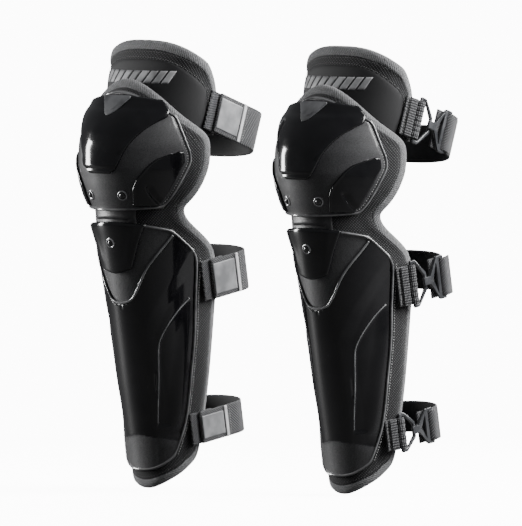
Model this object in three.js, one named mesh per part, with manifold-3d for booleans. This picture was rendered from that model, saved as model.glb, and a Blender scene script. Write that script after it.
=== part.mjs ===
// A pair of knee and shin guards: moulded shells on a foam liner, each held on by three buckled straps.
// Millimetres, +Z up, the shells face -Y. The origin is on the first guard's leg axis, level with the
// lowest edge of its liner. The second guard stands beside it and buckles on its other side.
import * as THREE from "three";
import { mergeVertices } from "three/addons/utils/BufferGeometryUtils.js";
import Module from "manifold-3d";

const wasm = await Module();
wasm.setup();

// ---- Driving dimensions ----
const pairSpacing = 264; // from the middle of one guard to the middle of the other
const kneeLine = 280; // height of the knee joint line
const kneeRise = 167; // from the joint line to the top of the thigh flap
const kneeHalfWidth = 70; // widest half-width of the liner, at the knee
const kneeReach = 92; // furthest the liner's outer face stands in front of the leg's axis
const thighHalfWidth = 62; // half-width of the thigh flap
const linerWall = 7; // foam and lining
const flapWall = 6;
const shellWall = 2.8;
const coverWall = 2; // gloss cover plates on the shells
const linkWall = 1.3;
const seatGap = 0.4; // between a piece and what it rests on
const coverGap = 1.2; // between a cover plate and its shell
const linkRoom = 1.8; // free room above the link plate, under the shells
const rivetHead = 11; // across the head
const rivetShank = 4.6; // across the shank
const rivetDome = 2.4; // height of the head
const linkNotch = 20; // how much higher the knee liner starts behind the link plate
const knotGap = 7; // between the knee liner and the shin liner, closed as the knee straightens
const tabWall = 2.2; // webbing of the sewn tabs
const tabLength = 17; // from a tab's sewn end to the bar it holds
const stubWall = 2;
const stubReach = 14; // how far a loop stub runs back past the liner's edge
const bandWall = 2.6; // elastic strap
const barSize = 3; // square bars of the buckle frame
const loopRoom = 0.5; // play of the frame's bar in its webbing loop
const frameLength = 22; // from the bar in the webbing to the far side of the cross bar
const crossBarHalf = 8; // half-height of the frame's cross bar end
const clipLength = 24; // from the cross bar to the wide end of the clip
const clipWall = 2.6;
const noseHalf = 3.8; // half-height of the clip's hook
const pinRoom = 0.3; // round the rivet shanks

// Each strap: where it leaves the liner, how wide it is and how far back it reaches.
const straps = [
  { name: "thigh", height: kneeLine + 94, edge: 13, tilt: -19, width: 40, turn: 60, back: 96 },
  { name: "calf", height: kneeLine - 70, edge: 16, tilt: 10, width: 40, turn: 52, back: 83 },
  { name: "ankle", height: kneeLine * 0.218, edge: 13, tilt: 10, width: 32, turn: 58, back: 90 },
];
const strapLift = 1; // from the liner's widest point under a strap to its sewn tabs

// ---- The leg's surface ----
// Rows of [share of the height, share of the half-width, share of the reach].
const shinRows = [
  [0, 0.43, 0.27],
  [0.07, 0.46, 0.295],
  [0.21, 0.545, 0.365],
  [0.39, 0.625, 0.47],
  [0.57, 0.665, 0.575],
  [0.66, 0.68, 0.63],
  [0.88, 0.785, 0.77],
  [0.94, 0.81, 0.828],
  [1, 0.83, 0.845],
];
const kneeRows = [
  [0, 0.83, 0.845],
  [0.085, 0.94, 0.905],
  [0.18, 0.985, 0.955],
  [0.265, 1, 1],
  [0.36, 1, 0.98],
  [0.455, 0.985, 0.955],
  [0.55, 0.955, 0.825],
  [0.63, 0.915, 0.7],
  [0.695, 0.855, 0.63],
  [0.775, 0.76, 0.6],
];
const flapRows = [
  [0.42, 0.97, 0.54],
  [0.6, 1, 0.52],
  [0.74, 1, 0.46],
  [0.84, 1, 0.39],
  [1, 0.96, 0.3],
];

const clamp01 = (value) => Math.min(1, Math.max(0, value));

// A smooth value between rows of [place, value, ...], read at a place.
function along(rows, place, column = 1) {
  let i = 0;
  while (i < rows.length - 2 && place > rows[i + 1][0]) i++;
  const share = clamp01((place - rows[i][0]) / (rows[i + 1][0] - rows[i][0]));
  return THREE.MathUtils.lerp(rows[i][column], rows[i + 1][column], share);
}

const kneeShare = (z) => (z - kneeLine) / kneeRise;
const kneeHeight = (share) => kneeLine + share * kneeRise;
const shinHeight = (share) => share * kneeLine;

// A point of the guard's surface at an angle from the front, a height, and a distance out of it.
function guardPoint(angle, z, out) {
  const below = z < kneeLine;
  const rows = below ? shinRows : kneeRows;
  const place = below ? z / kneeLine : kneeShare(z);
  const half = kneeHalfWidth * along(rows, place, 1) + out;
  const reach = kneeReach * along(rows, place, 2) + out;
  const turn = THREE.MathUtils.degToRad(angle);
  return new THREE.Vector3(half * Math.sin(turn), -reach * Math.cos(turn), z);
}

function flapPoint(angle, z, out) {
  const half = thighHalfWidth * along(flapRows, kneeShare(z), 1) + out;
  const reach = kneeReach * along(flapRows, kneeShare(z), 2) + out;
  const turn = THREE.MathUtils.degToRad(angle);
  return new THREE.Vector3(half * Math.sin(turn), -reach * Math.cos(turn), z);
}

// ---- Making solids ----
function bare(geometry) {
  const kept = geometry.index ? geometry : geometry.clone();
  kept.deleteAttribute("normal");
  kept.deleteAttribute("uv");
  return mergeVertices(kept, 1e-3);
}

function toSolid(geometry) {
  const merged = bare(geometry);
  return new wasm.Manifold(
    new wasm.Mesh({
      numProp: 3,
      vertProperties: merged.attributes.position.array,
      triVerts: new Uint32Array(merged.index.array),
    }),
  );
}

function toGeometry(solid) {
  const mesh = solid.getMesh();
  const geometry = new THREE.BufferGeometry();
  geometry.setAttribute("position", new THREE.BufferAttribute(mesh.vertProperties, 3));
  geometry.setIndex(new THREE.BufferAttribute(mesh.triVerts, 1));
  return geometry;
}

// A curved panel of cells laid over a surface. low and high give the heights of its ends for a
// share from -1 to 1 across it, and left and right give the angles of its sides for a height.
function panel({ point, left, right, low, high, inner, outer, columns, rows }) {
  const geometry = bare(new THREE.BoxGeometry(2, 1, 1, columns, rows, 1));
  const position = geometry.attributes.position;
  for (let i = 0; i < position.count; i++) {
    const across = position.getX(i);
    const z = THREE.MathUtils.lerp(low(across), high(across), position.getY(i) + 0.5);
    const angle = THREE.MathUtils.lerp(left(z), right(z), (across + 1) / 2);
    const out = position.getZ(i) > 0 ? outer : inner;
    position.setXYZ(i, ...point(angle, z, out).toArray());
  }
  return geometry;
}

// A closed outline of straight lines, pushed out to a depth along +Z, centred on z = 0.
function plate(corners, depth, hole) {
  const shape = new THREE.Shape(corners.map(([x, y]) => new THREE.Vector2(x, y)));
  if (hole) shape.holes.push(new THREE.Path(hole.map(([x, y]) => new THREE.Vector2(x, y))));
  const geometry = new THREE.ExtrudeGeometry(shape, { depth, bevelEnabled: false });
  return geometry.translate(0, 0, -depth / 2);
}

const box = (x0, x1, y0, y1, halfZ) => plate([[x0, y0], [x1, y0], [x1, y1], [x0, y1]], 2 * halfZ);

// ---- Finishes ----
const finish = (color, roughness, metalness = 0) =>
  new THREE.MeshStandardMaterial({ color, roughness, metalness, flatShading: true });
const glossPlastic = finish(0x121214, 0.16);
const mattePlastic = finish(0x26272a, 0.55);
const framePlastic = finish(0x3a3c40, 0.28);
const meshFabric = finish(0x18191b, 0.9);
const flapFabric = finish(0x1c1d1f, 0.85);
const elasticWeb = finish(0x1f2022, 0.8);
const loopPile = finish(0x2c2d2f, 0.95);
const rivetMetal = finish(0x4a4c50, 0.3, 0.85);
const badgePlastic = finish(0x53565b, 0.45);

function named(name, geometry, material) {
  const mesh = new THREE.Mesh(geometry, material);
  mesh.geometry.computeVertexNormals();
  mesh.name = name;
  return mesh;
}

// ---- Heights that pieces share ----
const shellSeat = seatGap + linkWall + linkRoom; // inner face of the shells, out from the liner
const shellFace = shellSeat + shellWall;
const coverSeat = shellFace + coverGap;
const coverFace = coverSeat + coverWall;
const hingeHeight = kneeLine - 2; // the knee's axis
const linkSeat = 0.6; // from the liner to the link plate at the front
const linkFlare = 3.4; // how much further out the plate's sides lie
const cupLow = kneeLine - 2;
const shinTop = kneeLine - 12;
const linerTop = kneeLine - 3;
const rivetSide = 15; // angle of the knee rivets from the front
const kneeRivetHeight = kneeLine + 14;
const shinRivetHeight = kneeLine - 34;

// ---- Liners ----
const shinLinerEdge = (z) =>
  along([[0, 60], [0.03, 80], [0.06, 102], [0.12, 115], [0.2, 118], [0.7, 114], [0.84, 105], [0.92, 83], [1, 68]],
    z / kneeLine);
const kneeLinerEdge = (z) =>
  along([[0, 68], [0.08, 76], [0.17, 82], [0.3, 86], [0.42, 86], [0.56, 76], [0.775, 60]], kneeShare(z));

function shinLiner() {
  return panel({
    point: guardPoint,
    left: (z) => -shinLinerEdge(z),
    right: shinLinerEdge,
    low: (across) => shinHeight(0.107) * Math.abs(across) ** 2.4,
    high: () => linerTop,
    inner: -linerWall,
    outer: 0,
    columns: 16,
    rows: 12,
  });
}

function kneeLiner() {
  return panel({
    point: guardPoint,
    left: (z) => -kneeLinerEdge(z),
    right: kneeLinerEdge,
    low: (across) => linerTop + knotGap + linkNotch * (1 - clamp01((Math.abs(across) - 0.56) / 0.12)),
    high: (across) => kneeHeight(0.772 - 0.35 * Math.abs(across) ** 2.2),
    inner: -linerWall,
    outer: 0,
    columns: 24,
    rows: 7,
  });
}

function thighFlap() {
  const side = (z) => along([[0.42, 106], [0.7, 106], [0.84, 90], [0.93, 76], [1, 52]], kneeShare(z));
  return panel({
    point: flapPoint,
    left: (z) => -side(z),
    right: side,
    low: () => kneeHeight(0.435),
    high: (across) => kneeHeight(1 - 0.14 * Math.abs(across) ** 3),
    inner: -flapWall,
    outer: 0,
    columns: 16,
    rows: 6,
  });
}

// ---- Shells ----
const shinShellEdge = (z) =>
  along([[0.05, 54], [0.11, 59], [0.15, 65], [0.25, 76], [0.4, 80], [0.57, 84], [0.8, 82], [0.85, 79],
    [0.875, 69], [0.925, 59], [0.96, 54]], z / kneeLine);
const cupEdge = (z) =>
  along([[-0.02, 47], [0.01, 51], [0.085, 57], [0.16, 62], [0.235, 66.5], [0.295, 69.5], [0.335, 69], [0.4, 66],
    [0.48, 62], [0.58, 55], [0.67, 45], [0.71, 34]], kneeShare(z));

function shinShell() {
  return panel({
    point: guardPoint,
    left: (z) => -shinShellEdge(z),
    right: shinShellEdge,
    low: (across) => shinHeight(0.06) + 14 * Math.abs(across) ** 3,
    high: (across) => shinTop - 8 * across ** 2,
    inner: shellSeat,
    outer: shellFace,
    columns: 14,
    rows: 12,
  });
}

function shinTongue() {
  const side = (z) => along([[0.76, 13], [0.79, 19], [0.87, 27], [0.96, 38]], z / kneeLine);
  return panel({
    point: guardPoint,
    left: (z) => -side(z),
    right: side,
    low: (across) => kneeLine * 0.768 + 5 * across ** 2,
    high: (across) => shinTop - 0.5 - 3 * across ** 2,
    inner: coverSeat,
    outer: coverFace,
    columns: 8,
    rows: 5,
  });
}

// The link plate follows arcs about the knee hinge, so that it slides between the liner and the shells.
// Here z is an angle above the hinge, seen from the side, and not a height.
function linkPoint(angle, lift, out) {
  const turn = THREE.MathUtils.degToRad(angle);
  const half = kneeHalfWidth * along(shinRows, 1) * Math.sin(turn);
  const reach = kneeReach * along(shinRows, 1, 2) + linkSeat;
  const radius = reach * Math.cos(turn) + linkFlare * Math.sin(turn) ** 2 + out;
  const raised = THREE.MathUtils.degToRad(lift);
  return new THREE.Vector3(half, -radius * Math.cos(raised), hingeHeight + radius * Math.sin(raised));
}

function linkPlate() {
  return panel({
    point: linkPoint,
    left: () => -28,
    right: () => 28,
    low: () => -20,
    high: () => 16,
    inner: 0,
    outer: linkWall,
    columns: 10,
    rows: 6,
  });
}

function kneeCup() {
  return panel({
    point: guardPoint,
    left: (z) => -cupEdge(z),
    right: cupEdge,
    low: (across) => cupLow + 3 * across ** 2,
    high: (across) => kneeHeight(0.71 - 0.14 * across ** 2),
    inner: shellSeat,
    outer: shellFace,
    columns: 16,
    rows: 10,
  });
}

function kneeDome() {
  const side = (z) =>
    along([[0.215, 12], [0.25, 17], [0.34, 22], [0.4, 27], [0.45, 32], [0.5, 39], [0.54, 45], [0.57, 46]],
      kneeShare(z));
  return panel({
    point: guardPoint,
    left: (z) => -side(z),
    right: side,
    low: () => kneeHeight(0.216),
    high: (across) => kneeHeight(0.565 - 0.03 * across ** 2),
    inner: coverSeat,
    outer: coverFace + 1,
    columns: 12,
    rows: 7,
  });
}

function cupBadge() {
  return panel({
    point: guardPoint,
    left: () => -15,
    right: () => 15,
    low: (across) => kneeHeight(0.585 + 0.05 * Math.abs(across)),
    high: () => kneeHeight(0.69),
    inner: coverSeat,
    outer: coverFace,
    columns: 6,
    rows: 3,
  });
}

// The gloss wing over one side of the cup: side is 1 for +X and -1 for -X.
function cupWing(side) {
  const front = (z) =>
    along([[0, 26], [0.1, 26], [0.17, 29], [0.22, 34], [0.3, 43], [0.33, 52], [0.36, 62]], kneeShare(z));
  const rear = (z) => cupEdge(z) - 1.5;
  return panel({
    point: guardPoint,
    left: side > 0 ? front : (z) => -rear(z),
    right: side > 0 ? rear : (z) => -front(z),
    low: () => kneeLine + 1.5,
    high: () => kneeHeight(0.345),
    inner: coverSeat,
    outer: coverFace,
    columns: 6,
    rows: 6,
  });
}

// ---- Rivets: a domed head on a shank that passes through the shell ----
function rivetFrame(angle, z, face) {
  const at = guardPoint(angle, z, face);
  const across = guardPoint(angle + 1, z, face).sub(at);
  const up = guardPoint(angle, z + 1, face).sub(at);
  const normal = across.cross(up).normalize();
  const turn = new THREE.Quaternion().setFromUnitVectors(new THREE.Vector3(0, 1, 0), normal);
  return { at, turn };
}

function rivet(depth) {
  const head = rivetHead / 2;
  const shank = rivetShank / 2;
  const profile = [[0, -depth], [shank, -depth], [shank, seatGap], [head, seatGap], [head, seatGap + 0.8],
    [head * 0.72, seatGap + rivetDome * 0.85], [0, seatGap + rivetDome]];
  return new THREE.LatheGeometry(profile.map(([x, y]) => new THREE.Vector2(x, y)), 14);
}

function drilled(geometry, angle, z, face) {
  const { at, turn } = rivetFrame(angle, z, face);
  const drill = new THREE.CylinderGeometry(rivetShank / 2 + pinRoom, rivetShank / 2 + pinRoom, 30, 14);
  drill.applyQuaternion(turn).translate(at.x, at.y, at.z);
  return toGeometry(toSolid(geometry).subtract(toSolid(drill)));
}

function placedRivet(name, angle, z, face, depth) {
  const { at, turn } = rivetFrame(angle, z, face);
  const mesh = named(name, bare(rivet(depth)), rivetMetal);
  mesh.position.copy(at);
  mesh.quaternion.copy(turn);
  return mesh;
}

// ---- Straps ----
// Built flat in a frame where X is across the leg, Y runs back from the liner's edge and Z is the width.
// clipSide is the side that carries the buckle, and the hook-and-loop end is on the other side.
const barOut = barSize * Math.SQRT1_2 + loopRoom + tabWall; // radius of the webbing loop round the bar
const barPlace = -1.5; // the frame's bar, back from the liner's edge
const crossBarPlace = barPlace + frameLength - barSize;
const bandStart = (strap) => strap.side + barOut - bandWall / 2;

// Where a strap's sewn tabs lie: just outside the widest liner that they pass over.
function sideOf(strap) {
  const top = strap.height + strap.width / 2 + 10 * Math.sin(THREE.MathUtils.degToRad(strap.tilt));
  const half = strap.height > kneeLine ? thighHalfWidth : kneeHalfWidth * along(shinRows, top / kneeLine);
  return half + strapLift;
}

function webbingTab(strap, clipSide) {
  const centre = strap.side + barOut;
  const ring = (radius, depth) =>
    new THREE.CylinderGeometry(radius, radius, depth, 12).rotateX(Math.PI / 2).translate(centre, barPlace, 0);
  const strip = box(strap.side, strap.side + tabWall, barPlace - tabLength, barPlace, strap.width / 2);
  const loop = toSolid(strip)
    .add(toSolid(ring(barOut, strap.width)))
    .subtract(toSolid(ring(barOut - tabWall, strap.width + 2)));
  return mirrored(toGeometry(loop), clipSide);
}

// The same shape on the other side, with its faces turned to point out again.
function mirrored(geometry, side) {
  if (side > 0) return geometry;
  const turned = bare(geometry.clone().scale(-1, 1, 1));
  const index = turned.index.array;
  for (let i = 0; i < index.length; i += 3) [index[i], index[i + 1]] = [index[i + 1], index[i]];
  return turned;
}

function buckleFrame(strap, clipSide) {
  const wide = strap.width / 2 + 0.6;
  const near = barPlace - barSize / 2;
  const far = near + frameLength;
  const shoulder = barPlace + barOut + 1;
  const outline = [[near, -wide - 3.4], [shoulder, -wide - 3.4], [far, -crossBarHalf], [far, crossBarHalf],
    [shoulder, wide + 3.4], [near, wide + 3.4]];
  const window = [[near + barSize, -wide], [shoulder, -wide], [far - barSize, -crossBarHalf + 2.6],
    [far - barSize, crossBarHalf - 2.6], [shoulder, wide], [near + barSize, wide]];
  const flat = plate(outline, barSize, window); // drawn in Y and Z, pushed out along X
  flat.applyMatrix4(new THREE.Matrix4().makeBasis(
    new THREE.Vector3(0, 1, 0), new THREE.Vector3(0, 0, 1), new THREE.Vector3(1, 0, 0)));
  flat.translate(strap.side + barOut, 0, 0);
  return mirrored(bare(flat), clipSide);
}

function hookClip(strap, clipSide) {
  const face = strap.side + barOut + barSize / 2 + 0.9; // clear of the cross bar as it turns
  const bar = crossBarPlace;
  const far = bar + clipLength;
  const half = strap.width / 2 + 2;
  const outline = [[bar - 6, -noseHalf], [bar + 3, -noseHalf], [bar + 8, -half + 6], [far - 7, -half],
    [far, -half], [far, half], [far - 7, half], [bar + 8, half - 6], [bar + 3, noseHalf], [bar - 6, noseHalf]];
  const slot = [[far - 5.5, -half + 2], [far - 2.5, -half + 2], [far - 2.5, half - 2], [far - 5.5, half - 2]];
  const flat = plate(outline, clipWall, slot);
  flat.applyMatrix4(new THREE.Matrix4().makeBasis(
    new THREE.Vector3(0, 1, 0), new THREE.Vector3(0, 0, 1), new THREE.Vector3(1, 0, 0)));
  flat.translate(face + clipWall / 2, 0, 0);
  const nose = box(face - barSize - 0.4, face + clipWall / 2, bar - 6, bar - 3.4, noseHalf);
  return mirrored(toGeometry(toSolid(flat).add(toSolid(nose))), clipSide);
}

function elasticStrap(strap, clipSide) {
  const inner = bandStart(strap);
  const outer = inner + bandWall;
  const turn = strap.turn - strap.edge;
  const deep = strap.back - strap.turn;
  const shape = new THREE.Shape();
  shape.moveTo(outer, crossBarPlace + barSize + 4);
  shape.lineTo(outer, turn);
  shape.absellipse(0, turn, outer, deep, 0, Math.PI, false);
  shape.lineTo(-outer, -7);
  shape.lineTo(-inner, -7);
  shape.lineTo(-inner, turn);
  shape.absellipse(0, turn, inner, deep - bandWall, Math.PI, 0, true);
  shape.lineTo(inner, crossBarPlace + barSize + 4);
  const band = new THREE.ExtrudeGeometry(shape, { depth: strap.width, bevelEnabled: false, curveSegments: 14 });
  return mirrored(bare(band.translate(0, 0, -strap.width / 2)), clipSide);
}

function loopStub(strap, clipSide) {
  const inner = strap.side;
  return mirrored(bare(box(inner, inner + stubWall, -18, stubReach, strap.width / 2)), -clipSide);
}

function strapGroup(prefix, strap, clipSide) {
  const group = new THREE.Group();
  group.position.set(0, strap.edge, strap.height);
  group.rotation.x = THREE.MathUtils.degToRad(strap.tilt);
  const start = `${prefix}_${strap.name}`;
  group.add(
    named(`${start}_webbing_tab`, webbingTab(strap, clipSide), elasticWeb),
    named(`${start}_buckle_frame`, buckleFrame(strap, clipSide), framePlastic),
    named(`${start}_hook_clip`, hookClip(strap, clipSide), framePlastic),
    named(`${start}_elastic_strap`, elasticStrap(strap, clipSide), elasticWeb),
    named(`${start}_loop_stub`, loopStub(strap, clipSide), loopPile),
  );
  return group;
}

// ---- One guard ----
function guard(prefix, clipSide) {
  const group = new THREE.Group();
  const cup = [-rivetSide, rivetSide].reduce(
    (shape, angle) => drilled(shape, angle, kneeRivetHeight, shellFace), kneeCup());
  group.add(
    named(`${prefix}_shin_liner`, shinLiner(), meshFabric),
    named(`${prefix}_knee_liner`, kneeLiner(), meshFabric),
    named(`${prefix}_thigh_flap`, thighFlap(), flapFabric),
    named(`${prefix}_shin_shell`, drilled(shinShell(), 0, shinRivetHeight, coverFace), mattePlastic),
    named(`${prefix}_shin_tongue`, drilled(shinTongue(), 0, shinRivetHeight, coverFace), glossPlastic),
    named(`${prefix}_link_plate`, linkPlate(), mattePlastic),
    named(`${prefix}_knee_cup`, cup, mattePlastic),
    named(`${prefix}_knee_dome`, kneeDome(), glossPlastic),
    named(`${prefix}_left_wing`, cupWing(1), glossPlastic),
    named(`${prefix}_right_wing`, cupWing(-1), glossPlastic),
    named(`${prefix}_cup_badge`, cupBadge(), badgePlastic),
    placedRivet(`${prefix}_left_knee_rivet`, rivetSide, kneeRivetHeight, shellFace, shellWall),
    placedRivet(`${prefix}_right_knee_rivet`, -rivetSide, kneeRivetHeight, shellFace, shellWall),
    placedRivet(`${prefix}_shin_rivet`, 0, shinRivetHeight, coverFace, shellWall + coverGap + coverWall),
  );
  for (const strap of straps) group.add(strapGroup(prefix, { ...strap, side: sideOf(strap) }, clipSide));
  return group;
}

const pair = new THREE.Group();
const guardB = guard("b", 1);
guardB.position.x = pairSpacing;
pair.add(guard("a", -1), guardB);

export default pair;
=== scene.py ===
# Knee and shin guards: gloss and matte moulded shells on foam liners, with buckled elastic straps.
from bisect import bisect_right
from math import atan2, cos, degrees, exp, hypot, pi, radians, sin, sqrt

import bmesh
import bpy
from mathutils import Matrix, Vector


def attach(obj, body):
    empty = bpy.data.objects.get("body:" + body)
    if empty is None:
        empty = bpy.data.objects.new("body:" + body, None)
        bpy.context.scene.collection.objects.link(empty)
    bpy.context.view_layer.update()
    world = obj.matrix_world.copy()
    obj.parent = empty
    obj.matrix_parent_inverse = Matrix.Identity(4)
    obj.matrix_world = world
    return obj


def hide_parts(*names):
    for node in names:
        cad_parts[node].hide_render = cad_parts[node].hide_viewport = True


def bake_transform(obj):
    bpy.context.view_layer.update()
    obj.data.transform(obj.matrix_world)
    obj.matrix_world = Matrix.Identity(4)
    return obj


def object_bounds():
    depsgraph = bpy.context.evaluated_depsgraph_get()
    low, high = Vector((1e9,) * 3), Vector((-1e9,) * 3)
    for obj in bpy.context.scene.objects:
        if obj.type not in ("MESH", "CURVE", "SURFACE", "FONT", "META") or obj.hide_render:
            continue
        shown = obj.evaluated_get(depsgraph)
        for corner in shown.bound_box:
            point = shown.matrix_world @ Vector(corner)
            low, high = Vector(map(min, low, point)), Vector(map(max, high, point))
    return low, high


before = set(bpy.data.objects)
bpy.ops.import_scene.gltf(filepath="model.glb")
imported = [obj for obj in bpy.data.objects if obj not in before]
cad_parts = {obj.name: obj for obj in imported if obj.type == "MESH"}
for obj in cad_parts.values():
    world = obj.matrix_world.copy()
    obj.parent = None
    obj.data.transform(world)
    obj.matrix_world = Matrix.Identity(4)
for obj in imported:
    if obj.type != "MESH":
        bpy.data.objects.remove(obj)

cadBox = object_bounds()
mm = 0.001

# curves and the leg's surface


def smoothCurve(rows, column=1):
    # a smooth line through rows of (place, value, ...) that never swings past a value
    places = [row[0] for row in rows]
    values = [row[column] for row in rows]
    slopes = [(values[i + 1] - values[i]) / (places[i + 1] - places[i]) for i in range(len(rows) - 1)]
    leans = [slopes[0]]
    for before, after in zip(slopes, slopes[1:]):
        leans.append(0 if before * after <= 0 else 2 * before * after / (before + after))
    leans.append(slopes[-1])

    def read(place):
        place = min(max(place, places[0]), places[-1])
        i = min(bisect_right(places, place) - 1, len(places) - 2)
        h = places[i + 1] - places[i]
        t = (place - places[i]) / h
        near = (2 * t**3 - 3 * t**2 + 1) * values[i] + (t**3 - 2 * t**2 + t) * h * leans[i]
        return near + (3 * t**2 - 2 * t**3) * values[i + 1] + (t**3 - t**2) * h * leans[i + 1]

    return read


def step(low, high, value):
    t = min(max((value - low) / (high - low), 0), 1)
    return t * t * (3 - 2 * t)


leg = {
    "kneeLine": 280,  # height of the knee joint, in millimetres as are all sizes here
    "rows": (  # height, half-width, reach in front of the leg's axis
        (0, 30.1, 24.8), (20, 32.3, 27.2), (59, 38.2, 33.6), (109, 43.8, 43.2), (160, 46.6, 52.9),
        (185, 47.8, 58), (215, 51, 64.5), (246, 55, 70.8), (263, 56.7, 75.6), (280, 58.6, 78.6),
        (294, 65, 83.3), (310, 69, 88), (324, 70, 91), (340, 70, 90.6), (356, 69, 86.5),
        (372, 66.9, 77), (385, 64, 66.5), (396, 60, 59.5), (409, 53.5, 54.5)),
    "flapRows": ((350, 60, 50), (380, 62, 48), (404, 62.5, 42.5), (420, 62.5, 36), (447, 60, 27)),
}
legHalf = smoothCurve(leg["rows"], 1)
legReach = smoothCurve(leg["rows"], 2)
flapHalf = smoothCurve(leg["flapRows"], 1)
flapReach = smoothCurve(leg["flapRows"], 2)
kneeLine = leg["kneeLine"]


def legPoint(angle, z, out):
    a = radians(angle)
    return Vector(((legHalf(z) + out) * sin(a), -(legReach(z) + out) * cos(a), z))


def flapPoint(angle, z, out):
    a = radians(angle)
    return Vector(((flapHalf(z) + out) * sin(a), -(flapReach(z) + out) * cos(a), z))


def facing(point, angle, z, out=0):
    # the surface's outward direction
    here = point(angle, z, out)
    across = point(angle + 0.5, z, out) - here
    up = point(angle, z + 0.5, out) - here
    return across.cross(up).normalized()


def arcOf(angle, z):
    # length round the surface from its front, near enough for patterns and edge distances
    return radians(angle) * 0.5 * (legHalf(z) + legReach(z))


# outlines, as angles from the front
linerEdge = smoothCurve(((0, 56), (6, 78), (18, 104), (34, 115), (56, 119), (190, 115), (236, 106),
                         (258, 83), (270, 71), (281, 67), (292, 74), (309, 81), (330, 86), (352, 86),
                         (374, 76), (409, 60)))
shinEdge = smoothCurve(((14, 50), (31, 59), (42, 65), (70, 76), (112, 80), (160, 84), (224, 82.5), (238, 79),
                        (245, 70), (259, 59), (269, 52)))
cupEdge = smoothCurve(((277, 47), (282, 51), (294, 57), (307, 62), (319, 66.5), (329, 69.5), (336, 69),
                       (347, 66), (360, 62), (377, 55), (392, 45), (399, 34)))
tongueEdge = smoothCurve(((213, 10), (216, 15), (220, 19), (243, 27), (268, 37)))
domeEdge = smoothCurve(((315, 9), (318, 13), (322, 16), (336, 21.5), (346, 26), (355, 31.5), (363, 38),
                        (369, 45), (373, 50), (377, 50.5), (385, 46), (394, 37)))
wingFront = smoothCurve(((278, 25.5), (298, 26), (309, 29), (317, 34), (330, 43.5), (335, 52), (339, 63)))
flapEdge = smoothCurve(((350, 106), (398, 106), (420, 94), (435, 80), (447, 66)))
panelCrease = smoothCurve(((50, 28), (104, 25.5), (152, 22), (166, 29), (238, 76)))
veeEdge = smoothCurve(((183.5, 0.5), (185, 9), (189, 15), (222, 34.5), (255, 58), (270, 66)))
recessFront = smoothCurve(((59, 33), (62, 31.5), (108, 36.5), (144, 39.5), (150, 42), (175, 60), (188, 73),
                            (195, 83)))
recessRear = smoothCurve(((59, 44), (63, 53), (79, 61), (102, 65.5), (150, 74), (195, 80)))


# mesh helpers


def gridPiece(columns, rows, place):
    # a grid laid out by place(across, up), which gives a point and pattern coordinates, all in millimetres
    bm = bmesh.new()
    bmesh.ops.create_grid(bm, x_segments=columns, y_segments=rows, size=1)
    uv = bm.loops.layers.uv.new("pattern")
    flat = {}
    for v in bm.verts:
        point, pattern = place(v.co.x, v.co.y)
        v.co = point * mm
        flat[v] = (pattern[0] * mm, pattern[1] * mm)
    for face in bm.faces:
        for loop in face.loops:
            loop[uv].uv = flat[loop.vert]
    return bm


def thicken(bm, wall, rim=0.0, rimSteps=2):
    # gives a sheet its wall, inwards, and rounds its rim
    bm.normal_update()
    bmesh.ops.solidify(bm, geom=bm.faces[:], thickness=wall * mm)
    if rim:
        sharp = [e for e in bm.edges if len(e.link_faces) == 2 and e.calc_face_angle(0) > radians(50)]
        bmesh.ops.bevel(bm, geom=sharp, offset=rim * mm, segments=rimSteps, affect="EDGES", profile=0.5,
                        material=-1, clamp_overlap=True)


def finishPiece(name, bm, material, body=None, replaced=(), smooth=True, flatAngle=None):
    mesh = bpy.data.meshes.new(name)
    bmesh.ops.remove_doubles(bm, verts=bm.verts[:], dist=1e-6)
    bm.normal_update()
    bm.to_mesh(mesh)
    bm.free()
    for polygon in mesh.polygons:
        polygon.use_smooth = smooth
    if flatAngle:
        mesh.set_sharp_from_angle(angle=radians(flatAngle))
    piece = bpy.data.objects.new(name, mesh)
    bpy.context.scene.collection.objects.link(piece)
    mesh.materials.append(material)
    if body:
        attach(piece, body)
    if replaced:
        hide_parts(*replaced)
    return piece


def shift(bm, matrix):
    bmesh.ops.transform(bm, matrix=matrix, verts=bm.verts[:])
    if matrix.determinant() < 0:
        bmesh.ops.reverse_faces(bm, faces=bm.faces[:])


def moveAcross(bm, x):
    # to the guard it belongs to
    shift(bm, Matrix.Translation((x, 0, 0)))


def joinInto(target, source):
    # adds one bmesh to another, keeping the pattern coordinates
    holder = bpy.data.meshes.new("holder")
    source.to_mesh(holder)
    source.free()
    target.from_mesh(holder)
    bpy.data.meshes.remove(holder)


# materials


def startMaterial(name, settings):
    material = bpy.data.materials.new(name)
    material.use_nodes = True
    nodes, links = material.node_tree.nodes, material.node_tree.links
    shader = nodes["Principled BSDF"]
    shader.inputs["Metallic"].default_value = settings.get("metal", 0)
    shader.inputs["IOR"].default_value = settings.get("ior", 1.5)
    if settings.get("coat"):
        shader.inputs["Coat Weight"].default_value = settings["coat"]
        shader.inputs["Coat Roughness"].default_value = settings.get("coatRough", 0.05)
    if settings.get("sheen"):
        shader.inputs["Sheen Weight"].default_value = settings["sheen"]
        shader.inputs["Sheen Roughness"].default_value = 0.4
    return material, nodes, links, shader


def rampNode(nodes, links, source, stops):
    ramp = nodes.new("ShaderNodeValToRGB")
    ramp.color_ramp.elements[0].position, ramp.color_ramp.elements[0].color = stops[0][0], (*stops[0][1], 1)
    ramp.color_ramp.elements[1].position, ramp.color_ramp.elements[1].color = stops[1][0], (*stops[1][1], 1)
    links.new(source, ramp.inputs["Fac"])
    return ramp.outputs["Color"]


def bumpNode(nodes, links, shader, height, strength, distance):
    bump = nodes.new("ShaderNodeBump")
    bump.inputs["Strength"].default_value = strength
    bump.inputs["Distance"].default_value = distance
    links.new(height, bump.inputs["Height"])
    links.new(bump.outputs["Normal"], shader.inputs["Normal"])


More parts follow.
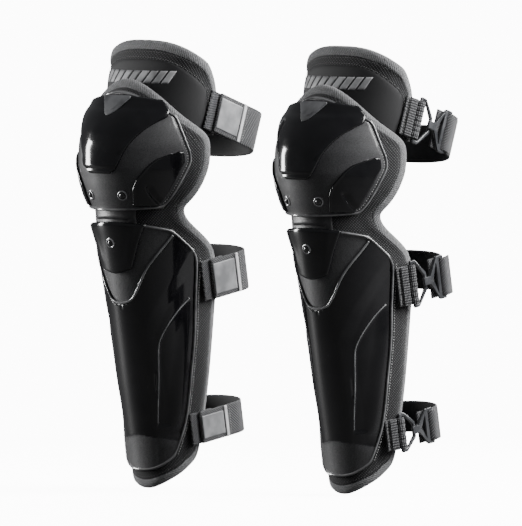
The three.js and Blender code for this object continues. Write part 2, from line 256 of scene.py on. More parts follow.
def mathNode(nodes, links, operation, first, second=None, value=0.5):
    node = nodes.new("ShaderNodeMath")
    node.operation = operation
    links.new(first, node.inputs[0])
    if second is None:
        node.inputs[1].default_value = value
    else:
        links.new(second, node.inputs[1])
    return node.outputs["Value"]


def noiseNode(nodes, links, coordinates, scale, detail=2):
    noise = nodes.new("ShaderNodeTexNoise")
    noise.inputs["Scale"].default_value = scale
    noise.inputs["Detail"].default_value = detail
    links.new(coordinates, noise.inputs["Vector"])
    return noise.outputs["Fac"]


def waveNode(nodes, links, coordinates, period, turn=0.0, profile="SIN"):
    # straight bands this many metres apart, turned in the pattern's plane
    mapping = nodes.new("ShaderNodeMapping")
    mapping.inputs["Rotation"].default_value = (0, 0, turn)
    links.new(coordinates, mapping.inputs["Vector"])
    wave = nodes.new("ShaderNodeTexWave")
    wave.wave_profile = profile
    wave.inputs["Scale"].default_value = 0.31416 / period
    links.new(mapping.outputs["Vector"], wave.inputs["Vector"])
    return wave.outputs["Fac"]


def plasticMaterial(name, settings):
    # moulded plastic: fine grain where it is matte, slow unevenness and faint scuffs where it is polished
    material, nodes, links, shader = startMaterial(name, settings)
    place = nodes.new("ShaderNodeTexCoord").outputs["Object"]
    grain = noiseNode(nodes, links, place, settings["grainScale"], 3)
    scuff = noiseNode(nodes, links, place, 60, 6)
    colour = rampNode(nodes, links, scuff, ((0.35, settings["dark"]), (0.7, settings["light"])))
    links.new(colour, shader.inputs["Base Color"])
    rough = nodes.new("ShaderNodeMapRange")
    rough.inputs["To Min"].default_value = settings["rough"][0]
    rough.inputs["To Max"].default_value = settings["rough"][1]
    rough.inputs["From Min"].default_value = 0.3
    rough.inputs["From Max"].default_value = 0.7
    links.new(scuff, rough.inputs["Value"])
    links.new(rough.outputs["Result"], shader.inputs["Roughness"])
    bumpNode(nodes, links, shader, grain, settings["grain"], 0.0002)
    return material


def twoFinishPlastic(name, gloss, matte):
    # one moulding with polished and grained areas, told apart by the "polish" attribute
    material, nodes, links, shader = startMaterial(name, gloss)
    place = nodes.new("ShaderNodeTexCoord").outputs["Object"]
    polish = nodes.new("ShaderNodeAttribute")
    polish.attribute_name = "polish"
    fine = noiseNode(nodes, links, place, matte["grainScale"], 3)
    scuff = noiseNode(nodes, links, place, 60, 6)
    glossColour = rampNode(nodes, links, scuff, ((0.35, gloss["dark"]), (0.7, gloss["light"])))
    matteColour = rampNode(nodes, links, fine, ((0.35, matte["dark"]), (0.65, matte["light"])))
    mix = nodes.new("ShaderNodeMix")
    mix.data_type = "RGBA"
    links.new(polish.outputs["Fac"], mix.inputs["Factor"])
    links.new(matteColour, mix.inputs["A"])
    links.new(glossColour, mix.inputs["B"])
    links.new(mix.outputs["Result"], shader.inputs["Base Color"])
    rough = nodes.new("ShaderNodeMapRange")
    rough.inputs["To Min"].default_value = matte["rough"][1]
    rough.inputs["To Max"].default_value = gloss["rough"][0]
    links.new(polish.outputs["Fac"], rough.inputs["Value"])
    uneven = mathNode(nodes, links, "MULTIPLY", scuff, value=0.06)
    links.new(mathNode(nodes, links, "ADD", rough.outputs["Result"], uneven), shader.inputs["Roughness"])
    less = mathNode(nodes, links, "MULTIPLY", polish.outputs["Fac"], value=-0.97)
    kept = mathNode(nodes, links, "ADD", less, value=1.0)
    bumpNode(nodes, links, shader, mathNode(nodes, links, "MULTIPLY", fine, kept), matte["grain"], 0.0003)
    return material


def wovenMaterial(name, settings):
    # two crossing sets of yarns on the pattern coordinates, with uneven dye
    material, nodes, links, shader = startMaterial(name, settings)
    pattern = nodes.new("ShaderNodeTexCoord").outputs["UV"]
    place = nodes.new("ShaderNodeTexCoord").outputs["Object"]
    turn = settings.get("turn", 0.0)
    warp = waveNode(nodes, links, pattern, settings["warp"], turn)
    weft = waveNode(nodes, links, pattern, settings["weft"], turn + settings.get("cross", pi / 2))
    yarns = mathNode(nodes, links, settings.get("mix", "MULTIPLY"), warp, weft)
    dye = noiseNode(nodes, links, place, settings.get("dyeScale", 900), 4)
    shade = mathNode(nodes, links, "MULTIPLY", yarns, dye)
    stops = ((settings["from"], settings["dark"]), (settings["to"], settings["light"]))
    colour = rampNode(nodes, links, shade, stops)
    links.new(colour, shader.inputs["Base Color"])
    shader.inputs["Roughness"].default_value = settings["rough"]
    bumpNode(nodes, links, shader, yarns, settings["bump"], settings["depth"])
    return material


finishes = {
    "gloss": {"dark": (0.004, 0.004, 0.005), "light": (0.007, 0.007, 0.008), "rough": (0.1, 0.17),
              "grain": 0.02, "grainScale": 500, "coat": 0.4, "coatRough": 0.04},
    "matte": {"dark": (0.016, 0.016, 0.017), "light": (0.06, 0.06, 0.063), "rough": (0.36, 0.42),
              "grain": 0.7,
              "grainScale": 1500},
    "buckle": {"dark": (0.03, 0.031, 0.034), "light": (0.07, 0.072, 0.077), "rough": (0.2, 0.32),
               "grain": 0.05, "grainScale": 900, "coat": 0.6, "coatRough": 0.08},
    "badge": {"dark": (0.05, 0.051, 0.054), "light": (0.12, 0.122, 0.128), "rough": (0.35, 0.5), "grain": 0.3,
              "grainScale": 1600},
    "rivet": {"dark": (0.01, 0.01, 0.011), "light": (0.02, 0.02, 0.021), "rough": (0.1, 0.2), "grain": 0.03,
              "grainScale": 800, "coat": 0.8},
    "ring": {"dark": (0.3, 0.3, 0.31), "light": (0.5, 0.5, 0.51), "rough": (0.18, 0.3), "grain": 0.05,
             "grainScale": 800, "metal": 0.9},
    # rim beads: the same black plastic as the shell, given a lighter grey base colour as a painted highlight
    # along the rolled edges
    "rim": {"dark": (0.1, 0.1, 0.103), "light": (0.24, 0.24, 0.245), "rough": (0.14, 0.24), "grain": 0.03,
            "grainScale": 800, "coat": 1.0},
    "hook": {"dark": (0.16, 0.162, 0.168), "light": (0.3, 0.303, 0.31), "rough": (0.32, 0.45), "grain": 0.5,
             "grainScale": 1300},
    "hookRim": {"dark": (0.5, 0.5, 0.51), "light": (0.7, 0.7, 0.71), "rough": (0.25, 0.35), "grain": 0.1,
                "grainScale": 900},
    "print": {"dark": (0.2, 0.2, 0.205), "light": (0.38, 0.38, 0.39), "rough": (0.4, 0.55), "grain": 0.3,
              "grainScale": 1500},
    "binding": {"warp": 0.0019, "weft": 0.0013, "turn": 0.9, "cross": 1.35, "mix": "MAXIMUM", "from": 0.16,
                "to": 0.62, "dark": (0.03, 0.03, 0.031), "light": (0.33, 0.333, 0.34), "rough": 0.8,
                "bump": 0.8,
                "depth": 0.0006, "sheen": 0.2},
    "mesh": {"warp": 0.0021, "weft": 0.0021, "turn": 0.78, "from": 0.08, "to": 0.45,
             "dark": (0.003, 0.003, 0.0035), "light": (0.07, 0.071, 0.074), "rough": 0.85, "bump": 0.7,
             "depth": 0.0006, "sheen": 0.1},
    "smoothCloth": {"warp": 0.0008, "weft": 0.0008, "from": 0.1, "to": 0.7, "dark": (0.006, 0.006, 0.007),
                    "light": (0.014, 0.014, 0.015), "rough": 0.75, "bump": 0.25, "depth": 0.0002,
                    "sheen": 0.05},
    "elastic": {"warp": 0.0022, "weft": 0.0014, "turn": 0.75, "from": 0.03, "to": 0.35,
                "dark": (0.008, 0.008, 0.009), "light": (0.16, 0.161, 0.168), "rough": 0.8, "bump": 0.8,
                "depth": 0.0005, "sheen": 0.15},
    "ribbed": {"warp": 0.0026, "weft": 0.0016, "from": 0.04, "to": 0.35, "dark": (0.006, 0.006, 0.007),
               "light": (0.2, 0.201, 0.21), "rough": 0.8, "bump": 0.9, "depth": 0.0007, "sheen": 0.15},
    "pile": {"warp": 0.0017, "weft": 0.0019, "turn": 0.4, "from": 0.02, "to": 0.3,
             "dark": (0.004, 0.004, 0.005), "light": (0.17, 0.171, 0.18), "rough": 0.95, "bump": 0.6,
             "depth": 0.0005, "sheen": 0.3},
    "thread": {"warp": 0.0006, "weft": 0.0009, "turn": 0.7, "from": 0.02, "to": 0.4,
               "dark": (0.25, 0.25, 0.25), "light": (0.75, 0.75, 0.75), "rough": 0.6, "bump": 0.4,
               "depth": 0.0002},
    "darkThread": {"warp": 0.0006, "weft": 0.0009, "turn": 0.7, "from": 0.02, "to": 0.4,
                   "dark": (0.1, 0.1, 0.1), "light": (0.3, 0.3, 0.3), "rough": 0.6, "bump": 0.4,
                   "depth": 0.0002},
}
moulded = twoFinishPlastic("mouldedShell", finishes["gloss"], finishes["matte"])
glossPlastic = plasticMaterial("glossPlastic", finishes["gloss"])
mattePlastic = plasticMaterial("mattePlastic", finishes["matte"])
bucklePlastic = plasticMaterial("bucklePlastic", finishes["buckle"])
badgePlastic = plasticMaterial("badgePlastic", finishes["badge"])
rivetBlack = plasticMaterial("rivetBlack", finishes["rivet"])
rivetRing = plasticMaterial("rivetRing", finishes["ring"])
# the rim beads' grey colour is a painted highlight, not the plastic's own colour
paintedHighlightRim = plasticMaterial("paintedHighlightRim", finishes["rim"])
hookPlastic = plasticMaterial("hookPlastic", finishes["hook"])
hookRim = plasticMaterial("hookRim", finishes["hookRim"])
printInk = plasticMaterial("printInk", finishes["print"])
bindingTape = wovenMaterial("bindingTape", finishes["binding"])
meshCloth = wovenMaterial("meshCloth", finishes["mesh"])
smoothCloth = wovenMaterial("smoothCloth", finishes["smoothCloth"])
elasticWeb = wovenMaterial("elasticWeb", finishes["elastic"])
ribbedWeb = wovenMaterial("ribbedWeb", finishes["ribbed"])
loopPile = wovenMaterial("loopPile", finishes["pile"])
paleThread = wovenMaterial("paleThread", finishes["thread"])
greyThread = wovenMaterial("greyThread", finishes["darkThread"])
print("materials made")

# studio, floor and camera
studio = {
    "azimuth": 42, "elevation": 2.0, "view": 0.526, "distance": 2.0, "aim": (0.132, 0, 0.227),
    "softboxes": (  # name, azimuth, elevation, distance, width, height, power
        ("keyBox", 112, 34, 1.6, 0.8, 1.0, 60), ("leftStrip", -65, 8, 1.6, 0.3, 0.8, 34),
        ("rimBox", 165, 30, 1.8, 1.0, 1.2, 50)),
    "worldLight": 0.14, "worldSeen": 12, "floorSeen": 11.0, "floorRadius": 1.6, "floorDrop": 0.002,
}


def makeStudio():
    low, high = (Vector(corner) for corner in cadBox)
    middle = (low + high) / 2
    aim = Vector(studio["aim"])
    camera = bpy.data.objects.new("camera", bpy.data.cameras.new("camera"))
    camera.data.type = "ORTHO"
    camera.data.ortho_scale = studio["view"]
    a, e = radians(studio["azimuth"]), radians(studio["elevation"])
    away = Vector((sin(a) * cos(e), -cos(a) * cos(e), sin(e)))
    camera.location = aim + away * studio["distance"]
    camera.rotation_euler = (-away).to_track_quat("-Z", "Y").to_euler()
    bpy.context.scene.collection.objects.link(camera)
    bpy.context.scene.camera = camera

    def softbox(name, azimuth, elevation, distance, width, height, power):
        lamp = bpy.data.lights.new(name, "AREA")
        lamp.shape, lamp.size, lamp.size_y, lamp.energy = "RECTANGLE", width, height, power
        box = bpy.data.objects.new(name, lamp)
        b, f = radians(azimuth), radians(elevation)
        off = Vector((sin(b) * cos(f), -cos(b) * cos(f), sin(f)))
        box.location = middle + off * distance
        box.rotation_euler = (-off).to_track_quat("-Z", "Y").to_euler()
        bpy.context.scene.collection.objects.link(box)

    for settings in studio["softboxes"]:
        softbox(*settings)

    world = bpy.data.worlds.new("studio")
    bpy.context.scene.world = world
    world.use_nodes = True
    nodes, links = world.node_tree.nodes, world.node_tree.links
    lit = nodes["Background"]
    lit.inputs["Color"].default_value = (0.9, 0.92, 0.95, 1)
    lit.inputs["Strength"].default_value = studio["worldLight"]
    seen = nodes.new("ShaderNodeBackground")
    seen.inputs["Color"].default_value = (1, 1, 1, 1)
    seen.inputs["Strength"].default_value = studio["worldSeen"]
    path = nodes.new("ShaderNodeLightPath")
    mix = nodes.new("ShaderNodeMixShader")
    links.new(path.outputs["Is Camera Ray"], mix.inputs[0])
    links.new(lit.outputs[0], mix.inputs[1])
    links.new(seen.outputs[0], mix.inputs[2])
    links.new(mix.outputs[0], nodes["World Output"].inputs["Surface"])

    bm = bmesh.new()
    bmesh.ops.create_circle(bm, cap_ends=True, segments=96, radius=studio["floorRadius"],
                            matrix=Matrix.Translation((middle.x, middle.y, -studio["floorDrop"])))
    mesh = bpy.data.meshes.new("floor")
    bm.to_mesh(mesh)
    bm.free()
    floor = bpy.data.objects.new("floor", mesh)
    bpy.context.scene.collection.objects.link(floor)
    material, nodes, links, shader = startMaterial("floorPaper", {})
    place = nodes.new("ShaderNodeTexCoord").outputs["Object"]
    tone = noiseNode(nodes, links, place, 3, 2)
    pale = rampNode(nodes, links, tone, ((0.3, (0.88, 0.88, 0.88)), (0.7, (0.92, 0.92, 0.92))))
    seen = nodes.new("ShaderNodeMix")
    seen.data_type = "RGBA"
    seen.inputs["A"].default_value = (0.06, 0.06, 0.06, 1)
    links.new(pale, seen.inputs["B"])
    links.new(seen.outputs["Result"], shader.inputs["Base Color"])
    shader.inputs["Roughness"].default_value = 0.7
    shader.inputs["Emission Color"].default_value = (1, 1, 1, 1)
    path = nodes.new("ShaderNodeLightPath")
    links.new(path.outputs["Is Camera Ray"], seen.inputs["Factor"])
    links.new(mathNode(nodes, links, "MULTIPLY", path.outputs["Is Camera Ray"], value=studio["floorSeen"]),
              shader.inputs["Emission Strength"])
    mesh.materials.append(material)


makeStudio()
print("studio made")

# sweeps, beads and stitches


def sweep(frames, profile, closed=False, width=1.0):
    # carries a closed profile of (across, out) along frames of (point, across, out); all in millimetres
    count = len(frames) - (0 if closed else 1)
    bm = bmesh.new()
    bmesh.ops.create_grid(bm, x_segments=len(profile), y_segments=count, size=1)
    uv = bm.loops.layers.uv.new("pattern")
    along, around = [0.0], [0.0]
    for i in range(count):
        along.append(along[-1] + (frames[(i + 1) % len(frames)][0] - frames[i][0]).length)
    for i in range(len(profile)):
        first, second = profile[i], profile[(i + 1) % len(profile)]
        around.append(around[-1] + hypot(second[0] - first[0], second[1] - first[1]))
    flat = {}
    for v in bm.verts:
        i = round((v.co.x + 1) / 2 * len(profile))
        j = round((v.co.y + 1) / 2 * count)
        across, out = profile[i % len(profile)]
        point, side, normal = frames[j % len(frames)]
        v.co = (point + side * across * width + normal * out) * mm
        flat[v] = (around[i] * mm, along[j] * mm)
    for face in bm.faces:
        for loop in face.loops:
            loop[uv].uv = flat[loop.vert]
    bmesh.ops.remove_doubles(bm, verts=bm.verts[:], dist=1e-6)
    openEnds = [e for e in bm.edges if e.is_boundary]
    if openEnds:
        bmesh.ops.holes_fill(bm, edges=openEnds, sides=0)
    bmesh.ops.recalc_face_normals(bm, faces=bm.faces[:])
    layer = bm.verts.layers.float.new("polish")
    for v in bm.verts:
        v[layer] = 1
    return bm


def evenSpots(spots, spacing, closed=False):
    # the same line of (angle, z) spots, cut into equal steps of about this many millimetres
    loop = spots + [spots[0]] if closed else spots
    places = [legPoint(angle, z, 0) for angle, z in loop]
    marks = [0.0]
    for first, second in zip(places, places[1:]):
        marks.append(marks[-1] + (second - first).length)
    count = max(2, round(marks[-1] / spacing))
    spread = []
    for k in range(count if closed else count + 1):
        want = marks[-1] * k / count
        i = min(bisect_right(marks, want) - 1, len(loop) - 2)
        t = (want - marks[i]) / max(marks[i + 1] - marks[i], 1e-9)
        spread.append(tuple(loop[i][k] + (loop[i + 1][k] - loop[i][k]) * t for k in (0, 1)))
    return spread


def softened(spots, passes, closed=False):
    # rounds a line's corners
    for _ in range(passes):
        last = len(spots) - 1
        spots = [spot if not closed and i in (0, last) else
                 tuple((spots[i - 1][k] + 2 * spot[k] + spots[(i + 1) % len(spots)][k]) / 4 for k in (0, 1))
                 for i, spot in enumerate(spots)]
    return spots


def surfaceFrames(point, spots, out, closed=False):
    # frames along a line on the surface: out is a number or a function of (angle, z)
    lift = out if callable(out) else (lambda angle, z: out)
    points = [point(angle, z, lift(angle, z)) for angle, z in spots]
    frames = []
    for i, (angle, z) in enumerate(spots):
        after = points[(i + 1) % len(points)] if closed or i + 1 < len(points) else points[i]
        before = points[i - 1] if closed or i else points[i]
        normal = facing(point, angle, z)
        frames.append((points[i], (after - before).cross(normal).normalized(), normal))
    return frames


def beadProfile(half, height):
    return ((-half, -0.8), (-half, 0.1 * height), (-0.8 * half, 0.6 * height), (-0.4 * half, 0.92 * height),
            (0, height), (0.4 * half, 0.92 * height), (0.8 * half, 0.6 * height), (half, 0.1 * height),
            (half, -0.8))


def bead(point, spots, out, half=0.9, height=1.1, closed=False, spacing=1.2):
    spots = evenSpots(spots, spacing, closed)
    return sweep(surfaceFrames(point, spots, out, closed), beadProfile(half, height), closed)


def stitchRow(point, spots, out, pitch=2.6, length=1.7, thick=0.75, closed=False):
    # a row of short threads lying along a line
    spots = evenSpots(spots, pitch, closed)
    bm = bmesh.new()
    uv = bm.loops.layers.uv.new("pattern")
    for where, side, normal in surfaceFrames(point, spots, out, closed):
        forward = normal.cross(side)
        turn = Matrix((forward * length / 2, side * thick / 2, normal * thick * 0.45)).transposed().to_4x4()
        bmesh.ops.create_icosphere(bm, subdivisions=1, radius=mm,
                                   matrix=Matrix.Translation(where * mm) @ turn)
    for face in bm.faces:
        for loop in face.loops:
            loop[uv].uv = loop.vert.co.xz
    return bm


def outline(edge, low, high, inset=0.0, steps=60):
    # the closed line round a patch, inset by this many millimetres
    def spot(s, t):
        z = low(s) + inset + (high(s) - low(s) - 2 * inset) * t
        return s * (edge(z) - degrees(inset * 2 / (legHalf(z) + legReach(z)))), z

    ends = [spot(-1 + 2 * k / steps, 0) for k in range(steps)]
    ends += [spot(1, k / steps) for k in range(steps)]
    ends += [spot(1 - 2 * k / steps, 1) for k in range(steps)]
    ends += [spot(-1, 1 - k / steps) for k in range(steps)]
    return ends


def shellSheet(edge, low, high, out, relief, columns, rows, wall):
    # a moulded sheet over the leg: relief(angle, z, gap) gives its height above out and its polish from 0 to 1
    polish = []

    def place(s, t):
        z = low(s) + (high(s) - low(s)) * (t + 1) / 2
        angle = s * edge(z)
        radius = (legHalf(z) + legReach(z)) / 2
        gap = min((1 - abs(s)) * radians(edge(z)) * radius, z - low(s), high(s) - z)
        height, shine = relief(angle, z, gap)
        polish.append(shine)
        return legPoint(angle, z, out + height), (arcOf(angle, z), z)

    bm = gridPiece(columns, rows, place)
    layer = bm.verts.layers.float.new("polish")
    for v, shine in zip(bm.verts, polish):
        v[layer] = shine
    thicken(bm, wall)
    return bm


def inside(value, low, high, soft):
    return step(low - soft, low + soft, value) * (1 - step(high - soft, high + soft, value))


# the shin's shell
shin = {"out": 4.6, "wall": 2.0, "low": 16.8, "high": 268, "columns": 118, "rows": 178}


def shinLow(s):
    return shin["low"] + 14 * abs(s)**3


def shinHigh(s):
    return shin["high"] - 8 * s * s


def millimetres(angle, z):
    # a length round the surface for this many degrees at this height
    return radians(angle) * (legHalf(z) + legReach(z)) / 2


def shinRelief(angle, z, gap):
    w = abs(angle)
    vee = millimetres(veeEdge(z) - w, z) * 0.8 if z > 180 else -20
    sunk = step(-0.6, 1.4, vee)
    side = millimetres(w - panelCrease(z), z)
    facet = -0.13 * min(max(side, 0), 13) * step(40, 56, z)
    front = millimetres(w - recessFront(z), z) * (0.72 if 144 < z < 196 else 1)
    rear = millimetres(recessRear(z) - w, z)
    pocket = step(0, 1.1, front) * step(-3, 12, rear) * step(60, 64, z) * (1 - step(188, 196, z))
    slot = inside(z, 97, 116, 1.5) * (1 - step(0.8, 1.8, abs(millimetres(w - 34.2, z))))
    heel = 1 - step(52.6 - 0.1 * w, 54 - 0.1 * w, z)
    height = -1.7 * sunk + facet * (1 - sunk) - 1.9 * pocket - 1.5 * slot - 0.35 * heel * (1 - step(26, 34, w))
    height += -1.5 * (1 - step(0, 1.1, gap))
    grained = max(sunk, heel, 0.75 * step(0, 10, -rear) * step(50, 70, z))
    return height, 1 - grained


def shinShell(guard, x):
    bm = shellSheet(shinEdge, shinLow, shinHigh, shin["out"], shinRelief, shin["columns"], shin["rows"],
                    shin["wall"])
    around = softened(outline(shinEdge, shinLow, shinHigh, 1.6), 4, True)
    rims = bead(legPoint, around, shin["out"] - 0.1, 1.1, 1.0, True)
    vee = [(-veeEdge(z), z) for z in range(254, 184, -2)]
    vee += [(0, 183)] + [(veeEdge(z), z) for z in range(186, 256, 2)]
    joinInto(rims, bead(legPoint, softened(vee, 3), shin["out"] - 0.1, 1.2, 0.9))
    for side in (-1, 1):
        edge = [(side * recessFront(z), z) for z in range(64, 192, 3)]
        joinInto(rims, bead(legPoint, softened(edge, 2),
                            lambda a, z: shin["out"] - 1.4 + 0.3 * step(140, 185, z), 0.7, 0.5))
    moveAcross(rims, x)
    # the rim, V and pocket beads take a grey painted highlight colour
    finishPiece(guard + "_shinRims", rims, paintedHighlightRim, guard + "_shin")
    moveAcross(bm, x)
    finishPiece(guard + "_shinShell", bm, moulded, guard + "_shin", (guard + "_shin_shell",))


# the tongue at the top of the shin
tongue = {"out": 7.6, "wall": 1.8, "columns": 46, "rows": 46}


def tongueLow(s):
    return 215 + 5 * s * s


def tongueHigh(s):
    return 267.5 - 3 * s * s


def tongueRelief(angle, z, gap):
    ridge = 0.5 * exp(-(millimetres(abs(angle) - tongueEdge(z) * 0.72, z) / 3.5)**2)
    dip = -1.3 * (1 - step(0, 1.6, gap))
    return dip - 0.5 * step(262, 267, z) + ridge * step(222, 234, z), 1


def shinTongue(guard, x):
    bm = shellSheet(tongueEdge, tongueLow, tongueHigh, tongue["out"], tongueRelief, tongue["columns"],
                    tongue["rows"], tongue["wall"])
    moveAcross(bm, x)
    finishPiece(guard + "_shinTongue", bm, glossPlastic, guard + "_shin",
                (guard + "_shin_tongue",))


# the knee's cup, dome, wings and plaque
knee = {"cupOut": 4.6, "cupWall": 2.0, "domeOut": 8.0, "wingOut": 6.9, "badgeOut": 8.9}


def cupLow(s):
    return 278 + 3 * s * s


def cupHigh(s):
    return 398.6 - 23.4 * s * s


def cupRelief(angle, z, gap):
    lip = -1.4 * (1 - step(0, 1.1, gap))
    channel = -0.6 * inside(gap, 2.6, 5.0, 0.5) * step(281, 286, z)
    return lip + channel, 0


def kneeCup(guard, x):
    bm = shellSheet(cupEdge, cupLow, cupHigh, knee["cupOut"], cupRelief, 100, 86, knee["cupWall"])
    around = softened(outline(cupEdge, cupLow, cupHigh, 1.5), 5, True)
    rim = bead(legPoint, around, knee["cupOut"] - 0.1, 1.1, 1.0, True)
    moveAcross(rim, x)
    # the cup's rim bead takes a grey painted highlight colour
    finishPiece(guard + "_cupRim", rim, paintedHighlightRim, guard + "_knee")
    moveAcross(bm, x)
    finishPiece(guard + "_kneeCup", bm, moulded, guard + "_knee", (guard + "_knee_cup",))
    rows = outline(cupEdge, cupLow, cupHigh, 4.1)
    upper = [spot for spot in rows if spot[1] > 284]
    start = min(range(len(upper)), key=lambda i: upper[i][1] + (1000 if upper[i][0] < 0 else 0))
    upper = upper[start:] + upper[:start]
    threads = stitchRow(legPoint, softened(upper, 4), knee["cupOut"] - 0.4, 2.7, 1.8, 0.8)
    moveAcross(threads, x)
    finishPiece(guard + "_cupStitches", threads, paleThread, guard + "_knee")


def domeLow(s):
    return 315.8


def domeHigh(s):
    return 394.5 - 5 * s * s


def domeRelief(angle, z, gap):
    side = millimetres(domeEdge(z) - abs(angle), z)
    chamfer = -2.3 * (1 - min(max(side / 9, 0), 1))**1.7 * step(326, 336, z) * (1 - step(372, 388, z))
    groove = -1.0 * inside(z, 320.2, 322.4, 0.5)
    lip = -0.9 * (1 - step(319, 324, z)) - 2.0 * (1 - step(0, 1.5, gap))
    crown = 0.8 * inside(z, 330, 352, 14) * (1 - step(10, 24, abs(angle)))
    seat = -1.0 * step(377, 383, z)
    return chamfer + groove + lip + crown + seat, 1


def kneeDome(guard, x):
    bm = shellSheet(domeEdge, domeLow, domeHigh, knee["domeOut"], domeRelief, 84, 68, 1.6)
    moveAcross(bm, x)
    finishPiece(guard + "_kneeDome", bm, glossPlastic, guard + "_knee", (guard + "_knee_dome",))


wing = {"low": 282.5, "high": 337.6, "wall": 1.6, "scoop": 1.7,
        "scoopEdge": ((284, 47.5), (287, 44.5), (291.5, 41), (297, 38), (303.5, 36))}
scoopEdge = smoothCurve(wing["scoopEdge"])


def wingRear(z):
    return cupEdge(z) - 5.2


def kneeWing(guard, x, side):
    def place(s, t):
        z = wing["low"] + (wing["high"] - wing["low"]) * (t + 1) / 2
        front, rear = wingFront(z), wingRear(z)
        angle = front + (max(rear, front + 0.4) - front) * (s + 1) / 2
        gap = min(millimetres(angle - front, z), millimetres(rear - angle, z), z - wing["low"])
        rim = -1.8 * (1 - step(0, 1.2, gap)) + 0.3 * inside(millimetres(angle - front, z), 1.2, 3, 0.7)
        past = millimetres(angle - scoopEdge(z), z)
        cut = inside(z, 285, 303, 1.5) * step(-0.5, 0.8, past) * (1 - step(0.8, 9, past))
        return legPoint(angle, z, knee["wingOut"] + rim - wing["scoop"] * cut), (arcOf(angle, z), z)

    bm = gridPiece(48, 52, place)
    thicken(bm, wing["wall"])
    shift(bm, Matrix.Scale(side, 4, (1, 0, 0)))
    moveAcross(bm, x)
    name = "right" if side > 0 else "left"
    finishPiece(guard + "_" + name + "Wing", bm, glossPlastic, guard + "_knee",
                (guard + "_" + name + "_wing",))


def patchFrom(spots, out, wall):
    # a thin plate whose outline is this loop of (angle, z) spots, laid on the leg
    bm = bmesh.new()
    uv = bm.loops.layers.uv.new("pattern")
    loop = evenSpots(spots, 1.6, True)
    ring = bmesh.ops.create_circle(bm, segments=len(loop), radius=1, cap_ends=True)["verts"]
    ring.sort(key=lambda v: atan2(v.co.y, v.co.x))
    for v, (angle, z) in zip(ring, loop):
        v.co = (angle, z, 0)
    bmesh.ops.inset_region(bm, faces=bm.faces[:], thickness=0.7, depth=0)
    for v in bm.verts:
        angle, z = v.co.x, v.co.y
        v.co = legPoint(angle, z, out) * mm
    for face in bm.faces:
        for corner in face.loops:
            corner[uv].uv = (corner.vert.co.x, corner.vert.co.z)
    bm.normal_update()
    if sum(f.normal.dot(Vector((0, -1, 0))) for f in bm.faces) < 0:
        bmesh.ops.reverse_faces(bm, faces=bm.faces[:])
    thicken(bm, wall, 0.35, 2)
    return bm


badge = {
    "corners": [(-16, 394), (16, 394), (12, 389), (3, 375), (0, 373.5), (-3, 375), (-12, 389)], "wall": 1.4,
    "frame": [(-4, 388), (4, 388), (5, 384), (2, 379.5), (-2, 379.5), (-5, 384)], "bars": (382, 384, 386),
}


def kneeBadge(guard, x):
    spots = softened(evenSpots(badge["corners"], 1.5, True), 6, True)
    bm = patchFrom(spots, knee["badgeOut"], badge["wall"])
    moveAcross(bm, x)
    finishPiece(guard + "_badge", bm, badgePlastic, guard + "_knee", (guard + "_cup_badge",),
                flatAngle=40)
    out = knee["badgeOut"] - 0.1
    mark = bead(legPoint, softened(evenSpots(badge["frame"], 0.9, True), 3, True), out, 0.5, 0.5, True, 0.9)
    for height in badge["bars"]:
        joinInto(mark, bead(legPoint, [(-2.6, height), (2.6, height)], out, 0.35, 0.45, False, 0.9))
    moveAcross(mark, x)
    finishPiece(guard + "_badgeMark", mark, badgePlastic, guard + "_knee")


# the link plate
link = {"hinge": 278, "half": 58.1, "radius": 78.34, "flare": 3.4, "wall": 1.2, "halfTurn": 28, "lift": 18}


def linkPoint(angle, lift, out):
    turn, raised = radians(angle), radians(lift)
    radius = link["radius"] * cos(turn) + link["flare"] * sin(turn)**2 + out
    return Vector((link["half"] * sin(turn), -radius * cos(raised), link["hinge"] + radius * sin(raised)))


def linkPlate(guard, x):
    def place(s, t):
        lift = -2 + link["lift"] * t
        angle = link["halfTurn"] * s
        gap = min((1 - abs(s)) * link["halfTurn"], (1 - abs(t)) * 24)
        groove = -1.0 * exp(-((lift + 6.2 + 1.6 * s * s) / 0.8)**2) * (1 - step(18, 24, abs(angle)))
        ridge = 0.5 * exp(-((lift + 3.6 + 1.6 * s * s) / 0.9)**2) * (1 - step(18, 24, abs(angle)))
        return linkPoint(angle, lift, 1.3 + groove + ridge - 0.5 * (1 - step(0, 1.2, gap))), (angle, lift)

    bm = gridPiece(60, 50, place)
    thicken(bm, link["wall"])
    moveAcross(bm, x)
    finishPiece(guard + "_linkPlate", bm, mattePlastic, guard + "_link",
                (guard + "_link_plate",))


# rivets
rivet = {"dome": ((0, 2.5), (1.2, 2.35), (2.3, 1.9), (3.2, 1.1), (3.5, 0.3), (3.5, -2.2), (0, -2.2)),
         "ring": ((3.6, -0.4), (3.7, 0.8), (4.2, 1.15), (4.9, 1.0), (5.4, 0.3), (5.4, -0.4)),
         "shinHeight": 246, "kneeHeight": 294, "kneeAngle": 17.5}


def spun(profile, closed):
    # turns a profile of (radius, height) round Z
    bm = bmesh.new()
    points = [bm.verts.new((radius * mm, 0, height * mm)) for radius, height in profile]
    edges = [bm.edges.new(pair) for pair in zip(points, points[1:])]
    if closed:
        edges.append(bm.edges.new((points[-1], points[0])))
    bmesh.ops.spin(bm, geom=points + edges, cent=(0, 0, 0), axis=(0, 0, 1), angle=2 * pi, steps=28,
                   use_merge=True)
    bmesh.ops.remove_doubles(bm, verts=bm.verts[:], dist=1e-6)
    bmesh.ops.recalc_face_normals(bm, faces=bm.faces[:])
    uv = bm.loops.layers.uv.new("pattern")
    for face in bm.faces:
        for loop in face.loops:
            loop[uv].uv = loop.vert.co.xy
    return bm


def rivetPieces(guard, x, name, node, body, angle, z, out):
    at, normal = legPoint(angle, z, out), facing(legPoint, angle, z)
    turn = Matrix.Translation(at * mm) @ normal.to_track_quat("Z", "Y").to_matrix().to_4x4()
    parts = (("dome", rivetBlack, False, (node,)), ("ring", rivetRing, True, ()))
    for part, material, closed, swapped in parts:
        bm = spun(rivet[part], closed)
        shift(bm, Matrix.Translation((x, 0, 0)) @ turn)
        finishPiece(guard + "_" + name + part.capitalize(), bm, material, body, swapped)


